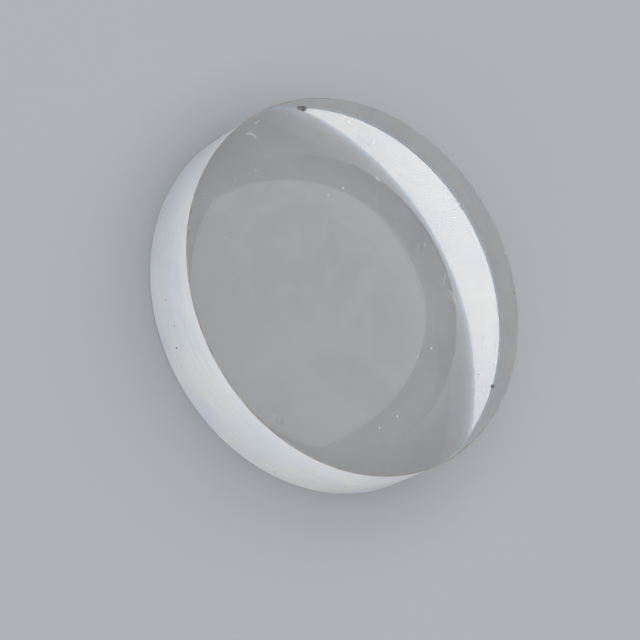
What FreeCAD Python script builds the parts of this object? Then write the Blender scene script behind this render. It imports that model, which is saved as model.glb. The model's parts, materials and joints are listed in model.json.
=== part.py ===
import FreeCAD, Part
import os
from math import cos, radians, sin, sqrt

# Semi-finished ophthalmic lens blank: one pressed meniscus of clear crown glass.
# It lies on the rim of its concave face, convex face up. Millimetres and degrees, origin in the
# middle of the ring that it rests on, +Z up along the optical axis.

# Glass body
diameter = 65.0
edge_thickness = 12.1
convex_radius = 209.2
concave_radius = 69.7

# Arrises, the fine bevels that break the two rims. Each is cut at 45 degrees, and its size is
# how far it runs across the face and down the edge.
convex_arris = 0.2
concave_arris = 0.25

# Conchoidal chips, flaked out of the rims in handling. Angle is the place round the rim from +X,
# length runs along the rim, depth goes into the glass, and lean turns the flake from the edge
# wall at 0 to the face at 90.
convex_chips = [
    {"angle": 65.5, "length": 1.2, "depth": 0.24, "lean": 62.0},
    {"angle": 123.7, "length": 1.5, "depth": 0.26, "lean": 25.0},
    {"angle": 190.2, "length": 0.6, "depth": 0.22, "lean": 60.0},
    {"angle": 230.5, "length": 0.9, "depth": 0.27, "lean": 45.0},
]
concave_chips = [
    {"angle": 38.5, "length": 0.7, "depth": 0.3, "lean": 60.0},
    {"angle": 96.1, "length": 1.0, "depth": 0.38, "lean": 50.0},
    {"angle": 157.7, "length": 1.3, "depth": 0.6, "lean": 65.0},
    {"angle": 158.9, "length": 0.9, "depth": 0.4, "lean": 48.0},
]

# Worked out from the sizes above
edge_radius = diameter / 2
convex_rim_radius = edge_radius - convex_arris
concave_rim_radius = edge_radius - concave_arris
convex_centre_height = edge_thickness - sqrt(convex_radius**2 - convex_rim_radius**2)
concave_centre_height = -sqrt(concave_radius**2 - concave_rim_radius**2)


def point(radius, height):
    """A point of the half section, which lies in the XZ plane."""
    return FreeCAD.Vector(radius, 0, height)


def face_arc(face_radius, centre_height, rim_radius):
    """Section of a spherical face, from the optical axis out to its rim."""
    half_way = rim_radius / 2
    ends = [point(r, centre_height + sqrt(face_radius**2 - r**2)) for r in (0, half_way, rim_radius)]
    return Part.Arc(*ends).toShape()


def glass_body():
    """The meniscus with its ground edge and both arrises, turned from one half section."""
    concave = face_arc(concave_radius, concave_centre_height, concave_rim_radius)
    convex = face_arc(convex_radius, convex_centre_height, convex_rim_radius)
    edge = [
        point(concave_rim_radius, 0),
        point(edge_radius, concave_arris),
        point(edge_radius, edge_thickness - convex_arris),
        point(convex_rim_radius, edge_thickness),
    ]
    axis = [
        point(0, convex_centre_height + convex_radius),
        point(0, concave_centre_height + concave_radius),
    ]
    lines = [Part.LineSegment(a, b).toShape() for a, b in zip(edge, edge[1:])]
    lines.append(Part.LineSegment(*axis).toShape())
    section = Part.Wire(Part.__sortEdges__([concave, convex] + lines))
    return Part.Face(section).revolve(FreeCAD.Vector(0, 0, 0), FreeCAD.Vector(0, 0, 1), 360)


def chip(corner_radius, corner_height, upward, angle, length, depth, lean):
    """Ball whose surface is the shell-shaped scar of one chip, centred outside the rim."""
    ball_radius = (length**2 / 4 + depth**2) / (2 * depth)
    reach = ball_radius - depth
    radial = corner_radius + reach * cos(radians(lean))
    height = corner_height + upward * reach * sin(radians(lean))
    turn = radians(angle)
    centre = FreeCAD.Vector(radial * cos(turn), radial * sin(turn), height)
    return Part.makeSphere(ball_radius, centre)


def lens_blank():
    """The glass body with the chips of both rims taken out."""
    glass = glass_body()
    for flake in convex_chips:
        corner = (edge_radius - convex_arris / 2, edge_thickness - convex_arris / 2)
        glass = glass.cut(chip(*corner, 1, **flake))
    for flake in concave_chips:
        corner = (edge_radius - concave_arris / 2, concave_arris / 2)
        glass = glass.cut(chip(*corner, -1, **flake))
    return glass


os.makedirs("parts", exist_ok=True)
blank = lens_blank()
solid = blank.Solids[0]
solid.exportStep("parts/lens_blank.step")
print("solids", len(blank.Solids), "valid", solid.isValid(), "volume", round(solid.Volume, 1))
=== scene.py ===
import json
import random
from math import cos, pi, radians, sin, sqrt

import bmesh
import bpy
from mathutils import Matrix, Vector, noise


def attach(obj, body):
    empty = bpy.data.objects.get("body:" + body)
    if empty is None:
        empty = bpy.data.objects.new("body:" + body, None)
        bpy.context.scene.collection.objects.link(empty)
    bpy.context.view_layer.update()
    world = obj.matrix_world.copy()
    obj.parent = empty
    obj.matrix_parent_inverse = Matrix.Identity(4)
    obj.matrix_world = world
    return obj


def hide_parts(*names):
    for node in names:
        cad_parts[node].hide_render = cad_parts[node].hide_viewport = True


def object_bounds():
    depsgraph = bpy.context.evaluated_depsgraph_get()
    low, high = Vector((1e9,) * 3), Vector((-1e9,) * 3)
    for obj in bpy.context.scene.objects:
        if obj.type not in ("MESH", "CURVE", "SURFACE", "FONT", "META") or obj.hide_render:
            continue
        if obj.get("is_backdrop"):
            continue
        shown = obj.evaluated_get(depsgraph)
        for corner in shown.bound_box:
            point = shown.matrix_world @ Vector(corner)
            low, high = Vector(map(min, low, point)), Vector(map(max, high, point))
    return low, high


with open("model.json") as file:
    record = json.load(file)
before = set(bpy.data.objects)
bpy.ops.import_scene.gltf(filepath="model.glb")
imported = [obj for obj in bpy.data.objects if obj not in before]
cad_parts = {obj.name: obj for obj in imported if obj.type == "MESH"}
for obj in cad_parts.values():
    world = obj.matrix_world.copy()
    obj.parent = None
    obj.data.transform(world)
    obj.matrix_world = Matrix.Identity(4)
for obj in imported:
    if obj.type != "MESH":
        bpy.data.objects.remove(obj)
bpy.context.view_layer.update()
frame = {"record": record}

# The body of the blank, one piece of clear crown glass pressed from a gob and then surfaced. Both
# faces are spherical, the edge between them is a cylinder ground with a coarse wheel, and a fine
# arris at 45 degrees breaks each rim.
mm = 0.001
edge_radius = frame["record"]["mounts"][0]["dims"]["r_mm"] * mm
edge_thickness = 12.1 * mm
convex_radius = 209.2 * mm
concave_radius = 69.7 * mm
convex_arris = 0.2 * mm
concave_arris = 0.25 * mm
steps_round = 360
rings_per_face = 40
wall_rows = 5

convex_rim = edge_radius - convex_arris
concave_rim = edge_radius - concave_arris
wall_low, wall_high = concave_arris, edge_thickness - convex_arris
convex_centre = Vector((0, 0, edge_thickness - sqrt(convex_radius**2 - convex_rim**2)))
concave_centre = Vector((0, 0, -sqrt(concave_radius**2 - concave_rim**2)))
polished_slot, ground_slot, fine_slot, arris_slot, broken_slot, painted_shade_chip_slot, pit_slot = range(7)


def convex_height(radius):
    return convex_centre.z + sqrt(convex_radius**2 - radius**2)


def concave_height(radius):
    return concave_centre.z + sqrt(concave_radius**2 - radius**2)


# Half of the section, from beside the middle of the hollow face out over the edge and back in over
# the domed face. Each entry has a radius, a height and the finish of the band that follows it.
outward = [(step + 1) / rings_per_face for step in range(rings_per_face)]
section = [
    (concave_rim * share, concave_height(concave_rim * share), polished_slot)
    for share in outward
]
section[-1] = (*section[-1][:2], fine_slot)
for row in range(wall_rows + 1):
    section.append((edge_radius, wall_low + (wall_high - wall_low) * row / wall_rows, ground_slot))
section[-1] = (*section[-1][:2], arris_slot)
section += [
    (convex_rim * share, convex_height(convex_rim * share), polished_slot)
    for share in reversed(outward)
]

corners = []
for radius, height, _ in section:
    for step in range(steps_round):
        turn = 2 * pi * step / steps_round
        corners.append((radius * cos(turn), radius * sin(turn), height))
concave_pole, convex_pole = len(corners), len(corners) + 1
corners += [(0, 0, concave_height(0)), (0, 0, convex_height(0))]
faces, slots = [], []
last_ring = (len(section) - 1) * steps_round
for step in range(steps_round):
    after = (step + 1) % steps_round
    faces.append((concave_pole, after, step))
    slots.append(polished_slot)
    for ring in range(len(section) - 1):
        low, high = ring * steps_round, (ring + 1) * steps_round
        faces.append((low + step, low + after, high + after, high + step))
        slots.append(section[ring][2])
    faces.append((convex_pole, last_ring + step, last_ring + after))
    slots.append(polished_slot)

mesh = bpy.data.meshes.new("crown_glass_body")
mesh.from_pydata(corners, [], faces)
mesh.polygons.foreach_set("material_index", slots)
blank = bpy.data.objects.new("crown_glass_body", mesh)
bpy.context.scene.collection.objects.link(blank)

# The polished faces. The glass is clear and has no colour of its own, but where the light inside it
# is just short of total reflection it turns faintly blue. Handling has left a thin uneven film,
# specks of dust, two wisps of lint, a smear and a few hair scratches.
glass_index = 1.523
film_colour = (0.72, 0.73, 0.745, 1)
fringe_colour = (0.50, 0.74, 1.0, 1)
fringe_strength = 0.55
fringe_scale = 12.2
smear_colour = (0.27, 0.26, 0.25, 1)
film_rise = (0.4, 0.14)
film_patch = 14 * mm
speck_spacing = 7.5 * mm
speck_radius = 0.17 * mm
speck_share = 0.5
smear_place = (13.2, -27.6)
smear_radius = 1.5 * mm
smear_patch = 0.9 * mm
smear_gain, smear_loss = 1.5, 0.5
lint_paths = [
    [(-30.02, -6.1), (-30.02, -5.6), (-29.7, -5.2), (-29.3, -4.9), (-29.0, -4.85), (-28.8, -5.1)],
    [(-31.04, -3.5), (-31.2, -2.5)],
]
lint_width = 0.085 * mm
scratch_paths = [
    [(8.2, 14.2), (10.7, 14.8)],
    [(7.6, 14.9), (10.0, 15.1)],
    [(5.4, 16.0), (6.7, 14.5)],
    [(9.0, 15.2), (10.2, 15.3)],
]
scratch_width = 0.055 * mm
scratch_strength = 0.85


class Shade:
    """A socket in a material. Arithmetic on it adds the Math nodes that work the result out."""

    def __init__(self, tree, socket=None):
        self.tree, self.socket = tree, socket

    def node(self, kind, settings=(), inputs=(), output=0):
        """One output of a new node, whose settings are made before its inputs."""
        made = self.tree.nodes.new(kind)
        for name, value in dict(settings).items():
            setattr(made, name, value)
        for name, value in dict(inputs).items():
            if isinstance(value, Shade):
                self.tree.links.new(value.socket, made.inputs[name])
            else:
                made.inputs[name].default_value = value
        return Shade(self.tree, made.outputs[output] if made.outputs else None)

    def sibling(self, output):
        """Another output of the node that this socket is on."""
        return Shade(self.tree, self.socket.node.outputs[output])

    def maths(self, operation, *values, clamp=False):
        """A number worked out from numbers, held between 0 and 1 where clamp is set."""
        return self.node("ShaderNodeMath", {"operation": operation, "use_clamp": clamp}, enumerate(values))

    def clamped(self):
        """This value, held between 0 and 1."""
        return self.maths("MULTIPLY", self, 1, clamp=True)

    def rise(self, start, steepness):
        """A value that is 0 up to a start, and climbs from there to 1 at most."""
        return self.maths("MULTIPLY", self - start, steepness, clamp=True)

    def measure(self, operation, *vectors):
        """A number worked out from vectors, such as their distance."""
        return self.node("ShaderNodeVectorMath", {"operation": operation}, enumerate(vectors), "Value")

    def blend(self, factor, first, second):
        """A colour between two others, the first one at a factor of 0."""
        colours = {"Factor": factor, "A": first, "B": second}
        return self.node("ShaderNodeMix", {"data_type": "RGBA"}, colours, "Result")

    def __add__(self, other):
        return self.maths("ADD", self, other)

    def __sub__(self, other):
        return self.maths("SUBTRACT", self, other)

    def __rsub__(self, other):
        return self.maths("SUBTRACT", other, self)

    def __mul__(self, other):
        return self.maths("MULTIPLY", self, other)

    def __truediv__(self, other):
        return self.maths("DIVIDE", self, other)

    def __pow__(self, other):
        return self.maths("POWER", self, other)

    def __lt__(self, other):
        return self.maths("LESS_THAN", self, other)

    __radd__, __rmul__ = __add__, __mul__


def new_material(name):
    """An empty material, and the way into its nodes."""
    material = bpy.data.materials.new(name)
    material.use_nodes = True
    material.node_tree.nodes.clear()
    return material, Shade(material.node_tree)


def on_domed_face(x, y):
    """The point of the domed face over a place given in millimetres."""
    return Vector((x * mm, y * mm, convex_height(sqrt(x**2 + y**2) * mm)))


def hairlines(shade, place, paths, width):
    """A mask of fine lines that run along paths on the domed face."""
    mask = 0
    for path in paths:
        for start, end in zip(path, path[1:]):
            start, run = on_domed_face(*start), on_domed_face(*end) - on_domed_face(*start)
            offset = shade.node("ShaderNodeVectorMath", {"operation": "SUBTRACT"}, {0: place, 1: start})
            reach = run / run.length_squared
            along = shade.measure("DOT_PRODUCT", offset, reach).clamped()
            foot = shade.node("ShaderNodeVectorMath", {"operation": "SCALE"}, {0: run, "Scale": along})
            gap = shade.measure("DISTANCE", offset, foot)
            mask = (gap < width / 2) + mask
    return mask


polished, shade = new_material("polished_crown_glass")
place = shade.node("ShaderNodeTexCoord", output="Object")
clear = shade.node(
    "ShaderNodeBsdfPrincipled",
    inputs={"Base Color": (1, 1, 1, 1), "Roughness": 0.0, "IOR": glass_index, "Transmission Weight": 1.0},
)
skim = shade.node("ShaderNodeFresnel", inputs={"IOR": glass_index})
inside = shade.node("ShaderNodeNewGeometry", output="Backfacing")
fringe = shade.node(
    "ShaderNodeBsdfPrincipled",
    inputs={"Base Color": fringe_colour, "Roughness": 0.0, "Metallic": 1.0},
)
# The scale brings the peak of this curve, at a skim of 0.8, to about 1 before the strength.
near_critical = skim**4 * (1 - skim) * inside * (fringe_scale * fringe_strength)
surface = shade.node("ShaderNodeMixShader", inputs={0: near_critical, 1: clear, 2: fringe})
wiping = shade.node(
    "ShaderNodeTexNoise",
    inputs={"Vector": place, "Scale": 1 / film_patch, "Detail": 5.0, "Roughness": 0.6, "Distortion": 1.4},
)
film = wiping.rise(*film_rise)
cells = shade.node(
    "ShaderNodeTexVoronoi",
    {"voronoi_dimensions": "2D"},
    {"Vector": place, "Scale": 1 / speck_spacing},
    "Distance",
)
chance = shade.node("ShaderNodeSeparateColor", inputs={"Color": cells.sibling("Color")}, output="Red")
specks = cells < (chance - (1 - speck_share)) * (speck_radius / speck_spacing / speck_share)
lint = hairlines(shade, place, lint_paths, lint_width)
scratches = hairlines(shade, place, scratch_paths, scratch_width)
dust = shade.node(
    "ShaderNodeBsdfPrincipled",
    inputs={"Base Color": film_colour, "Roughness": 0.9, "IOR": 1.4},
)
dusty = shade.maths("ADD", film, specks + lint + scratch_strength * scratches, clamp=True)
surface = shade.node("ShaderNodeMixShader", inputs={0: dusty, 1: surface, 2: dust})
smear_gap = shade.measure("DISTANCE", place, on_domed_face(*smear_place))
blots = shade.node("ShaderNodeTexNoise", inputs={"Vector": place, "Scale": 1 / smear_patch, "Detail": 2.0})
nearness = shade.maths("SUBTRACT", 1, smear_gap / smear_radius, clamp=True)
smear = shade.maths("MULTIPLY", nearness, smear_gain * blots - smear_loss, clamp=True)
residue = shade.node("ShaderNodeBsdfPrincipled", inputs={"Base Color": smear_colour, "Roughness": 0.7})
surface = shade.node("ShaderNodeMixShader", inputs={0: smear, 1: surface, 2: residue})
shade.node("ShaderNodeOutputMaterial", inputs={"Surface": surface})

# The ground edge, frosted by the wheel. The wheel has left fine lines that run round the edge, and
# its cut is bluer in some places and creamier in others.
ground_blue = (0.81, 0.84, 0.905, 1)
ground_cream = (0.92, 0.905, 0.875, 1)
ground_shade = (0.70, 0.72, 0.76, 1)
ground_patch = 10 * mm
cream_rise = (0.38, 4.0)
cut_rise = (0.42, 1.8)
line_height = 0.22 * mm
line_length = 9 * mm

ground, shade = new_material("ground_edge_glass")
place = shade.node("ShaderNodeTexCoord", output="Object")
stretch = (1 / line_length, 1 / line_length, 1 / line_height)
lines = shade.node(
    "ShaderNodeTexNoise",
    inputs={
        "Vector": shade.node("ShaderNodeMapping", inputs={"Vector": place, "Scale": stretch}),
        "Scale": 1.0,
        "Detail": 4.0,
        "Roughness": 0.6,
    },
)
clouds = shade.node(
    "ShaderNodeTexNoise",
    inputs={"Vector": place, "Scale": 1 / ground_patch, "Detail": 3.0, "Roughness": 0.55},
)
creamy = clouds.rise(*cream_rise)
tone = shade.blend(creamy, ground_blue, ground_cream)
cut_depth = lines.rise(*cut_rise)
tone = shade.blend(cut_depth, tone, ground_shade)
frosted = shade.node(
    "ShaderNodeBsdfPrincipled",
    inputs={
        "Base Color": tone,
        "Roughness": 0.5 + 0.25 * cut_depth,
        "IOR": glass_index,
        "Transmission Weight": 0.48,
    },
)
shade.node("ShaderNodeOutputMaterial", inputs={"Surface": frosted})

# The arris of the hollow face, ground finer than the edge. Its pale blue colour is a painted fringe of
# light, which shows through the glass as a thin pale blue line along the far rim.
painted_fringe_blue = (0.62, 0.76, 0.97, 1)
painted_fringe_pale = (0.74, 0.84, 0.97, 1)
fine_patch = 3 * mm

fine, shade = new_material("fine_ground_arris_painted_fringe")
place = shade.node("ShaderNodeTexCoord", output="Object")
worn = shade.node("ShaderNodeTexNoise", inputs={"Vector": place, "Scale": 1 / fine_patch, "Detail": 3.0})
# The blue here is painted light, a painted blue fringe that varies at random between two blues.
tone = shade.blend(worn, painted_fringe_blue, painted_fringe_pale)
smoothed = shade.node(
    "ShaderNodeBsdfPrincipled",
    inputs={
        "Base Color": tone,
        "Roughness": 0.35 + 0.2 * worn,
        "IOR": glass_index,
        "Transmission Weight": 0.55,
    },
)
shade.node("ShaderNodeOutputMaterial", inputs={"Surface": smoothed})

# The arris of the domed face, cut by hand before the last polish. Brown polishing compound has dried
# into its frosted surface, so that the rim and its mirror image both show as a thin dark line.
compound_colour = (0.22, 0.175, 0.135, 1)
compound_thin = (0.45, 0.41, 0.37, 1)
compound_patch = 2.5 * mm
compound_rise = (0.25, 2.0)

stained, shade = new_material("stained_arris_glass")
place = shade.node("ShaderNodeTexCoord", output="Object")
dried = shade.node(
    "ShaderNodeTexNoise",
    inputs={"Vector": place, "Scale": 1 / compound_patch, "Detail": 4.0},
)
cover = dried.rise(*compound_rise)
tone = shade.blend(cover, compound_thin, compound_colour)
stain = shade.node(
    "ShaderNodeBsdfPrincipled",
    inputs={
        "Base Color": tone,
        "Roughness": 0.6 + 0.2 * cover,
        "IOR": glass_index,
        "Transmission Weight": 0.3,
    },
)
shade.node("ShaderNodeOutputMaterial", inputs={"Surface": stain})

# The chips of both rims, flakes that broke away when the blank was knocked. Each scar is a shallow
# shell with fine ripples that spread from the point of the blow. The largest ones lie where the
# photograph shows them, a few tiny nicks lie between them, and pits are left in the ground edge.
# Chips given the soiled slot are coloured grey to near-black, painted shade in the chip.
convex_chips = [
    {"angle": 65.5, "length": 1.2, "depth": 0.24, "lean": 62, "slot": painted_shade_chip_slot},
    {"angle": 123.7, "length": 1.5, "depth": 0.26, "lean": 25},
    {"angle": 190.2, "length": 0.6, "depth": 0.22, "lean": 60},
    {"angle": 230.5, "length": 0.9, "depth": 0.27, "lean": 45},
]
concave_chips = [
    {"angle": 38.5, "length": 0.7, "depth": 0.3, "lean": 60, "slot": painted_shade_chip_slot},
    {"angle": 96.1, "length": 1.0, "depth": 0.38, "lean": 50},
    {"angle": 157.7, "length": 1.3, "depth": 0.6, "lean": 65, "slot": painted_shade_chip_slot},
    {"angle": 158.9, "length": 0.9, "depth": 0.4, "lean": 48, "slot": painted_shade_chip_slot},
]
nicks_per_rim = 9
nick_lengths = (0.1, 0.25)
nick_depth_shares = (0.3, 0.4)
nick_leans = (35, 60)
ripple_length = 0.16 * mm
ripple_height = 0.012 * mm
full_ripple_depth = 0.5 * mm
unevenness = 0.12
bumps_per_ball = 2.2
chip_detail, nick_detail, pit_detail = 4, 2, 2
edge_pits = [
    {"angle": 248.1, "height": 4.4, "radius": 0.11},
    {"angle": 256.1, "height": 5.2, "radius": 0.12},
    {"angle": 262.1, "height": 3.7, "radius": 0.17},
    {"angle": 51.7, "height": 0.8, "radius": 0.13},
    {"angle": 54.0, "height": 4.0, "radius": 0.09},
]
spare_pits = 6
spare_pit_heights = (1.5, 10.5)
spare_pit_radii = (0.05, 0.1)
pit_unevenness = 0.2
wear_seed = 5


def ball(cutters, detail, slot, centre, radius, seed, roughness, ripples=None):
    """Adds an uneven ball to cutters, and gives its faces the finish of one slot."""
    made = bmesh.ops.create_icosphere(cutters, subdivisions=detail, radius=1)["verts"]
    for vertex in made:
        direction = vertex.co.normalized()
        swell = noise.noise(direction * bumps_per_ball + Vector((seed, 0, 0))) * roughness
        if ripples:
            blow = (centre + direction * radius - ripples[0]).length
            swell += sin(blow / ripple_length * 2 * pi) * ripples[1]
        vertex.co = centre + direction * (radius + swell)
    for face in {face for vertex in made for face in vertex.link_faces}:
        face.material_index = slot


def flake(cutters, upward, angle, length, depth, lean, slot=broken_slot):
    """Adds the ball that leaves one scar on the upper rim, or on the lower one."""
    arris, height = (convex_arris, edge_thickness) if upward > 0 else (concave_arris, 0)
    length, depth = length * mm, depth * mm
    ball_radius = (length**2 / 4 + depth**2) / (2 * depth)
    place = Matrix.Rotation(radians(angle), 3, "Z")
    blow = place @ Vector((edge_radius - arris / 2, 0, height - upward * arris / 2))
    away = place @ Vector((cos(radians(lean)), 0, upward * sin(radians(lean))))
    centre = blow + away * (ball_radius - depth)
    detail = chip_detail if length > nick_lengths[1] * mm else nick_detail
    ripples = (blow, ripple_height * min(1, depth / full_ripple_depth))
    ball(cutters, detail, slot, centre, ball_radius, angle, unevenness * depth, ripples)


cutters = bmesh.new()
for upward, chips in ((1, convex_chips), (-1, concave_chips)):
    for chip in chips:
        flake(cutters, upward, **chip)
wear = random.Random(wear_seed)
for upward in (1, -1):
    for nick in range(nicks_per_rim):
        angle = (nick + wear.random()) / nicks_per_rim * 360
        length = wear.uniform(*nick_lengths)
        depth = length * wear.uniform(*nick_depth_shares)
        flake(cutters, upward, angle, length, depth, wear.uniform(*nick_leans))
for _ in range(spare_pits):
    angle, height = wear.uniform(0, 360), wear.uniform(*spare_pit_heights)
    edge_pits.append({"angle": angle, "height": height, "radius": wear.uniform(*spare_pit_radii)})
for pit in edge_pits:
    turn = Matrix.Rotation(radians(pit["angle"]), 3, "Z")
    centre = turn @ Vector((edge_radius, 0, pit["height"] * mm))
    radius = pit["radius"] * mm
    ball(cutters, pit_detail, pit_slot, centre, radius, pit["angle"], pit_unevenness * radius)
cutter_mesh = bpy.data.meshes.new("flakes")
cutters.to_mesh(cutter_mesh)
cutters.free()
flakes = bpy.data.objects.new("flakes", cutter_mesh)
bpy.context.scene.collection.objects.link(flakes)

# The fresh chips, clear broken glass that is smooth in some places and grey with hackle in others.
fresh_patch = 0.35 * mm

broken, shade = new_material("broken_glass")
place = shade.node("ShaderNodeTexCoord", output="Object")
hackle = shade.node("ShaderNodeTexNoise", inputs={"Vector": place, "Scale": 1 / fresh_patch, "Detail": 3.0})
fresh = shade.node(
    "ShaderNodeBsdfPrincipled",
    inputs={
        "Base Color": (1, 1, 1, 1),
        "Roughness": 0.05 + 0.3 * hackle,
        "IOR": glass_index,
        "Transmission Weight": 1.0,
    },
)
shade.node("ShaderNodeOutputMaterial", inputs={"Surface": fresh})

# The darker chips and the pits are coloured grey to near-black, which is painted shade in these hollows.
# The painted shade is thin grey on part of a chip and near-black on the rest.
painted_shade_colour = (0.055, 0.06, 0.05, 1)
painted_shade_thin = (0.40, 0.40, 0.38, 1)
pit_grain = 0.05 * mm
painted_shade_rise = (0.38, 5.0)

shaded_chips, shade = new_material("chips_with_painted_shade")
place = shade.node("ShaderNodeTexCoord", output="Object")
shade_patches = shade.node("ShaderNodeTexNoise", inputs={"Vector": place, "Scale": 1 / fresh_patch, "Detail": 3.0})
cover = shade_patches.rise(*painted_shade_rise)
tone = shade.blend(cover, painted_shade_thin, painted_shade_colour)
shaded_chip_surface = shade.node("ShaderNodeBsdfPrincipled", inputs={"Base Color": tone, "Roughness": 0.5 + 0.3 * cover})
shade.node("ShaderNodeOutputMaterial", inputs={"Surface": shaded_chip_surface})

# The pits are coloured near-black all over, painted shade in the pits.
shaded_pits, shade = new_material("pits_with_painted_shade")
place = shade.node("ShaderNodeTexCoord", output="Object")
grains = shade.node("ShaderNodeTexNoise", inputs={"Vector": place, "Scale": 1 / pit_grain})
shaded_pit_surface = shade.node(
    "ShaderNodeBsdfPrincipled",
    inputs={"Base Color": painted_shade_colour, "Roughness": 0.6 + 0.4 * grains},
)
shade.node("ShaderNodeOutputMaterial", inputs={"Surface": shaded_pit_surface})

# The finished blank. The flakes and pits are cut out of the body. Its polished faces, arrises and
# edge take their true direction at every point, and the borders between finishes stay crisp.
for made in (mesh, cutter_mesh):
    for material in (polished, ground, fine, stained, broken, shaded_chips, shaded_pits):
        made.materials.append(material)
cut = blank.modifiers.new("chips", "BOOLEAN")
cut.operation = "DIFFERENCE"
cut.object = flakes
cut.solver = "EXACT"
cut.use_self = True
graph = bpy.context.evaluated_depsgraph_get()
chipped = bpy.data.meshes.new_from_object(blank.evaluated_get(graph))
blank.modifiers.clear()
blank.data = chipped
bpy.data.objects.remove(flakes)

finishes = {}
for polygon in chipped.polygons:
    polygon.use_smooth = True
    for edge in polygon.edge_keys:
        finishes.setdefault(edge, set()).add(polygon.material_index)
for edge in chipped.edges:
    edge.use_edge_sharp = len(finishes[edge.key]) > 1
normals = [Vector(corner.vector) for corner in chipped.corner_normals]
for polygon in chipped.polygons:
    for loop in polygon.loop_indices:
        spot = chipped.vertices[chipped.loops[loop].vertex_index].co
        radial = Vector((spot.x, spot.y, 0)).normalized()
        if polygon.material_index == polished_slot:
            if polygon.normal.z > 0:
                normals[loop] = (spot - convex_centre).normalized()
            else:
                normals[loop] = (concave_centre - spot).normalized()
        elif polygon.material_index == arris_slot:
            normals[loop] = (radial + Vector((0, 0, 1))).normalized()
        elif polygon.material_index == fine_slot:
            normals[loop] = (radial - Vector((0, 0, 1))).normalized()
        elif polygon.material_index == ground_slot:
            normals[loop] = radial
chipped.normals_split_custom_set(normals)
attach(blank, "root")
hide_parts("lens_blank")

# The studio floor, a wide sheet of plain pale paper. Far from the blank it is a lighter paper, so
# that it keeps its tone out to the horizon, where less light falls on it.
floor_radius = 8.0
floor_sides = 64
floor_grey = (0.35, 0.36, 0.375, 1)
floor_pale = (0.82, 0.83, 0.85, 1)
fade_start, fade_end = 1.2, 6.0
floor_mesh = bpy.data.meshes.new("studio_floor")
turns = [2 * pi * side / floor_sides for side in range(floor_sides)]
rim = [(floor_radius * cos(turn), floor_radius * sin(turn), 0) for turn in turns]
floor_mesh.from_pydata(rim, [], [tuple(range(floor_sides))])
floor = bpy.data.objects.new("studio_floor", floor_mesh)
bpy.context.scene.collection.objects.link(floor)
floor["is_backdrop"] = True
paper, shade = new_material("floor_paper")
place = shade.node("ShaderNodeTexCoord", output="Object")
reach = shade.measure("LENGTH", place)
fade = shade.node(
    "ShaderNodeMapRange",
    {"interpolation_type": "SMOOTHSTEP"},
    {"Value": reach, "From Min": fade_start, "From Max": fade_end},
)
tone = shade.blend(fade, floor_grey, floor_pale)
matt = shade.node(
    "ShaderNodeBsdfPrincipled",
    inputs={"Base Color": tone, "Roughness": 0.9, "Specular IOR Level": 0.0},
)
shade.node("ShaderNodeOutputMaterial", inputs={"Surface": matt})
floor_mesh.materials.append(paper)

# The air of the studio, even and pale where it is seen. A wide glow from low in front lights the
# near side of the ground edge, and isn't seen itself.
air_colour = (0.94, 0.97, 1.0, 1)
air_strength = 0.4
glow_strength = 5.8
glow_lowness = 4
glow_narrowness = 4
glow_heading = Vector((0.3, -1, 0)).normalized()
world = bpy.data.worlds.new("studio_air")
world.use_nodes = True
world.node_tree.nodes.clear()
air = Shade(world.node_tree)
heading = air.node("ShaderNodeTexCoord", output="Generated")
upward = air.node("ShaderNodeSeparateXYZ", inputs={"Vector": heading}, output="Z")
ahead = air.measure("DOT_PRODUCT", heading, glow_heading).clamped()
glow = (1 - upward) ** glow_lowness * ahead**glow_narrowness
looked_at = air.node("ShaderNodeLightPath", output="Is Camera Ray")
seen = air.maths(
    "ADD",
    looked_at,
    looked_at.sibling("Is Glossy Ray") + looked_at.sibling("Is Transmission Ray"),
    clamp=True,
)
strength = air_strength + glow_strength * glow * (1 - seen)
lit = air.node("ShaderNodeBackground", inputs={"Color": air_colour, "Strength": strength})
air.node("ShaderNodeOutputWorld", inputs={"Surface": lit})
bpy.context.scene.world = world

# The lamp. A wide cloth scrim hangs over the blank, nearly level, and slopes down far behind it: the
# hollow face mirrors it, and its light comes in through the far side of the ground edge. Its sides
# and its reach are shares of its height, and a brightness of 1 is white.
scrim_height = 1.2
scrim_lean = radians(5)
scrim_sides = (-1.42, 1.12)
scrim_reach = (-2.4, 6.0)
scrim_brightness = 1.07
lamp = bpy.data.lights.new("scrim", "AREA")
lamp.shape = "RECTANGLE"
lamp.size = (scrim_sides[1] - scrim_sides[0]) * scrim_height
lamp.size_y = (scrim_reach[1] - scrim_reach[0]) * scrim_height
lamp.energy = scrim_brightness * pi * lamp.size * lamp.size_y
scrim = bpy.data.objects.new("scrim", lamp)
bpy.context.scene.collection.objects.link(scrim)
slope = Matrix.Rotation(-scrim_lean, 4, "X")
middle = Vector((sum(scrim_sides) / 2, sum(scrim_reach) / 2, 1)) * scrim_height
scrim.matrix_world = slope @ Matrix.Translation(middle)

# The camera, at the angle of the photograph: high over the blank, rolled to one side, with a long
# lens. The blank lies flat here, where the photograph has it leaning.
camera_elevation = 52.64
camera_roll = 62.18
camera_distance = 0.505
aim = Vector((2.29, -5.0, 5.0)) * mm
optics = bpy.data.cameras.new("camera")
optics.sensor_width = 36
optics.lens = 172.1
optics.clip_start, optics.clip_end = 0.01, 10
camera = bpy.data.objects.new("camera", optics)
bpy.context.scene.collection.objects.link(camera)
tilt = Matrix.Rotation(radians(90 - camera_elevation), 4, "X")
away = tilt @ Vector((0, 0, 1))
roll = Matrix.Rotation(radians(camera_roll), 4, "Z")
camera.matrix_world = Matrix.Translation(aim + away * camera_distance) @ tilt @ roll
bpy.context.scene.camera = camera
bpy.context.scene.view_settings.view_transform = "Standard"

low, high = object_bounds()
